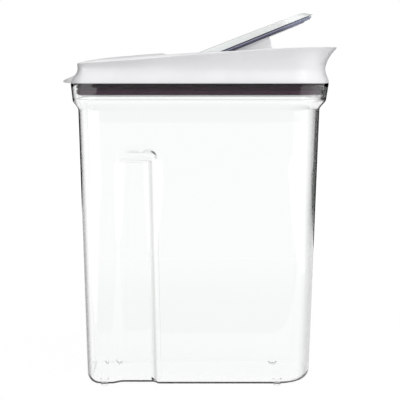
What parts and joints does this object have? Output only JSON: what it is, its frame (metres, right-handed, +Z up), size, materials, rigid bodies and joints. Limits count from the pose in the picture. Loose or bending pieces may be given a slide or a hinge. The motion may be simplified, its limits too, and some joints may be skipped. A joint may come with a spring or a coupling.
{
  "type": "cereal container with flip spout",
  "caption": "Tall clear cereal keeper with finger grips, a gasketed white snap lid with a pull tab, and a rocker flap that opens over a wide pour spout.",
  "frame": {"origin": "centre of the whole object's plan, from the spout's lip to the pull tab's tip, on the table under the feet", "axes": "+X towards the pour spout, +Y across the keeper, away from the viewer of the picture, +Z up"},
  "size_m": [0.2384, 0.118, 0.3228],
  "materials": {
    "clear_plastic": "clear rigid plastic, polished",
    "white_plastic": "white moulded plastic, soft gloss",
    "pale_plastic": "pale grey-white moulded plastic",
    "dark_silicone": "dark indigo silicone, matt",
    "steel": "plain drawn steel"
  },
  "bodies": {
    "container": {"container": "clear_plastic"},
    "lid": {"lid_shell": "white_plastic", "lid_base": "white_plastic", "lid_seal": "dark_silicone", "hinge_pin": "steel"},
    "flap": {"flap_cover": "white_plastic", "flap_plug": "pale_plastic", "flap_seal": "dark_silicone"}
  },
  "joints": [
    {"name": "lid_lift", "type": "slide", "parent": "container", "child": "lid", "axis": [0, 0, 1], "range_m": [0, 0.08]},
    {"name": "flap_hinge", "type": "hinge", "parent": "lid", "child": "flap", "pos_m": [0, 0, 0.28094], "axis": [0, 1, 0], "range_deg": [0, 20]}
  ]
}
